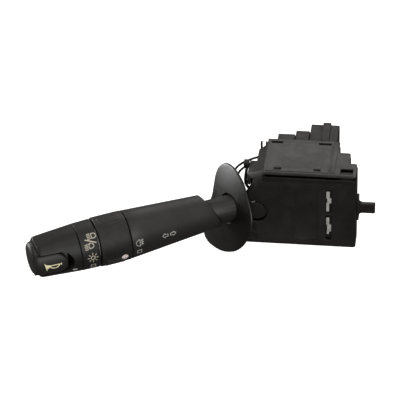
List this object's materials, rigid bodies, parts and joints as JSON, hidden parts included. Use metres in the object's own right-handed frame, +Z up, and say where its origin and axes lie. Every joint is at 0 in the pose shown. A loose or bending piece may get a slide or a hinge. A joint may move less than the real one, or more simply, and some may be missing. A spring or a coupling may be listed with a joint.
{
  "type": "combination stalk switch",
  "caption": "Steering-column stalk switch: lever with light knob, fog ring and horn button on a moulded housing with rear plug sockets and a self-cancelling finger.",
  "frame": {"origin": "on the housing's flat underside, straight below the lever's pivot", "axes": "+X towards the steering column, -Y towards the driver, +Z up"},
  "size_m": [0.1768, 0.1058, 0.0571],
  "materials": {
    "housing_black": "moulded, faint mould texture",
    "cover_black": "moulded, satin",
    "stalk_black": "fine grained, satin",
    "shield_black": "smooth moulded",
    "lead_black": "vinyl insulation",
    "inner_white": "natural acetal",
    "inner_brown": "phenolic",
    "tinned_brass": "tinned",
    "spring_steel": "plain"
  },
  "bodies": {
    "housing": {"housing_shell": "housing_black", "housing_cover": "cover_black", "rear_carrier": "housing_black", "connector_small": "cover_black", "connector_medium": "cover_black", "connector_large": "cover_black", "blades_small": "tinned_brass", "blades_medium": "tinned_brass", "blades_large": "tinned_brass", "contact_board": "inner_brown", "contact_tracks": "tinned_brass", "pivot_cap": "housing_black", "bearing_plate": "inner_white", "detent_cam": "inner_white", "cable_clip": "cover_black", "cable_tie": "lead_black", "lead_upper": "lead_black", "lead_lower": "lead_black", "lead_short": "lead_black", "cancel_spring": "spring_steel"},
    "turn_yoke": {"turn_yoke": "inner_white", "pull_pins": "spring_steel", "detent_spring": "spring_steel", "pull_spring": "spring_steel"},
    "detent_plunger": {"detent_plunger": "spring_steel"},
    "turn_carrier": {"turn_carrier": "inner_brown", "turn_contacts": "tinned_brass"},
    "beam_carrier": {"beam_carrier": "inner_brown", "beam_contacts": "tinned_brass"},
    "lever": {"lever_root": "stalk_black", "stalk_tube": "spring_steel", "shield": "shield_black", "handle": "stalk_black", "head_carrier": "inner_white", "symbol_band": "stalk_black", "light_tracks": "tinned_brass", "fog_tracks": "tinned_brass"},
    "fog_ring": {"fog_ring": "stalk_black", "fog_wiper": "tinned_brass"},
    "light_knob": {"light_knob": "stalk_black", "light_wiper": "tinned_brass", "horn_terminal": "tinned_brass", "horn_spring": "spring_steel"},
    "horn_button": {"horn_button": "stalk_black", "horn_contact": "tinned_brass"},
    "cancel_carriage": {"cancel_carriage": "inner_white", "finger_pin": "spring_steel"},
    "cancel_finger": {"cancel_finger": "housing_black"}
  },
  "joints": [
    {"name": "turn_signal", "type": "hinge", "parent": "housing", "child": "turn_yoke", "pos_m": [0, 0, 0.02], "axis": [0, 1, 0], "range_deg": [-11, 11], "deforming": ["lead_upper", "lead_lower", "lead_short"]},
    {"name": "beam_pull", "type": "hinge", "parent": "turn_yoke", "child": "lever", "pos_m": [0, 0, 0.02], "axis": [0, 0, 1], "range_deg": [0, 8], "stiffness_Nm_per_rad": 2, "springref_deg": -2.86, "deforming": ["pull_spring"]},
    {"name": "light_turn", "type": "hinge", "parent": "lever", "child": "light_knob", "pos_m": [-0.09795, -0.0499, 0.01597], "axis": [-0.8904, -0.4537, -0.0366], "range_deg": [0, 60]},
    {"name": "fog_turn", "type": "hinge", "parent": "lever", "child": "fog_ring", "pos_m": [-0.07123, -0.0363, 0.01707], "axis": [-0.8904, -0.4537, -0.0366], "range_deg": [0, 25]},
    {"name": "horn_press", "type": "slide", "parent": "light_knob", "child": "horn_button", "axis": [0.8904, 0.4537, 0.0366], "range_m": [0, 0.0025], "stiffness_N_per_m": 900, "springref_m": -0.002, "deforming": ["horn_spring"]},
    {"name": "detent_press", "type": "slide", "parent": "turn_yoke", "child": "detent_plunger", "axis": [-1, 0, 0], "range_m": [0, 0.0012], "stiffness_N_per_m": 900, "springref_m": -0.001, "deforming": ["detent_spring"]},
    {"name": "turn_contact_slide", "type": "slide", "parent": "housing", "child": "turn_carrier", "axis": [0, 0, 1], "range_m": [-0.0043, 0.0043]},
    {"name": "beam_contact_slide", "type": "slide", "parent": "housing", "child": "beam_carrier", "axis": [0, 1, 0], "range_m": [0, 0.0016]},
    {"name": "cancel_slide", "type": "slide", "parent": "housing", "child": "cancel_carriage", "axis": [-1, 0, 0], "range_m": [0, 0.0012], "stiffness_N_per_m": 500, "springref_m": -0.002, "deforming": ["cancel_spring"]},
    {"name": "cancel_swing", "type": "hinge", "parent": "cancel_carriage", "child": "cancel_finger", "pos_m": [0.046, -0.001, 0.02], "axis": [0, 1, 0], "range_deg": [-9, 9], "stiffness_Nm_per_rad": 0.02}
  ],
  "couplings": [
    {"joint": "turn_contact_slide", "follows": "turn_signal", "m_per_rad": -0.022},
    {"joint": "beam_contact_slide", "follows": "beam_pull", "m_per_rad": 0.011}
  ]
}
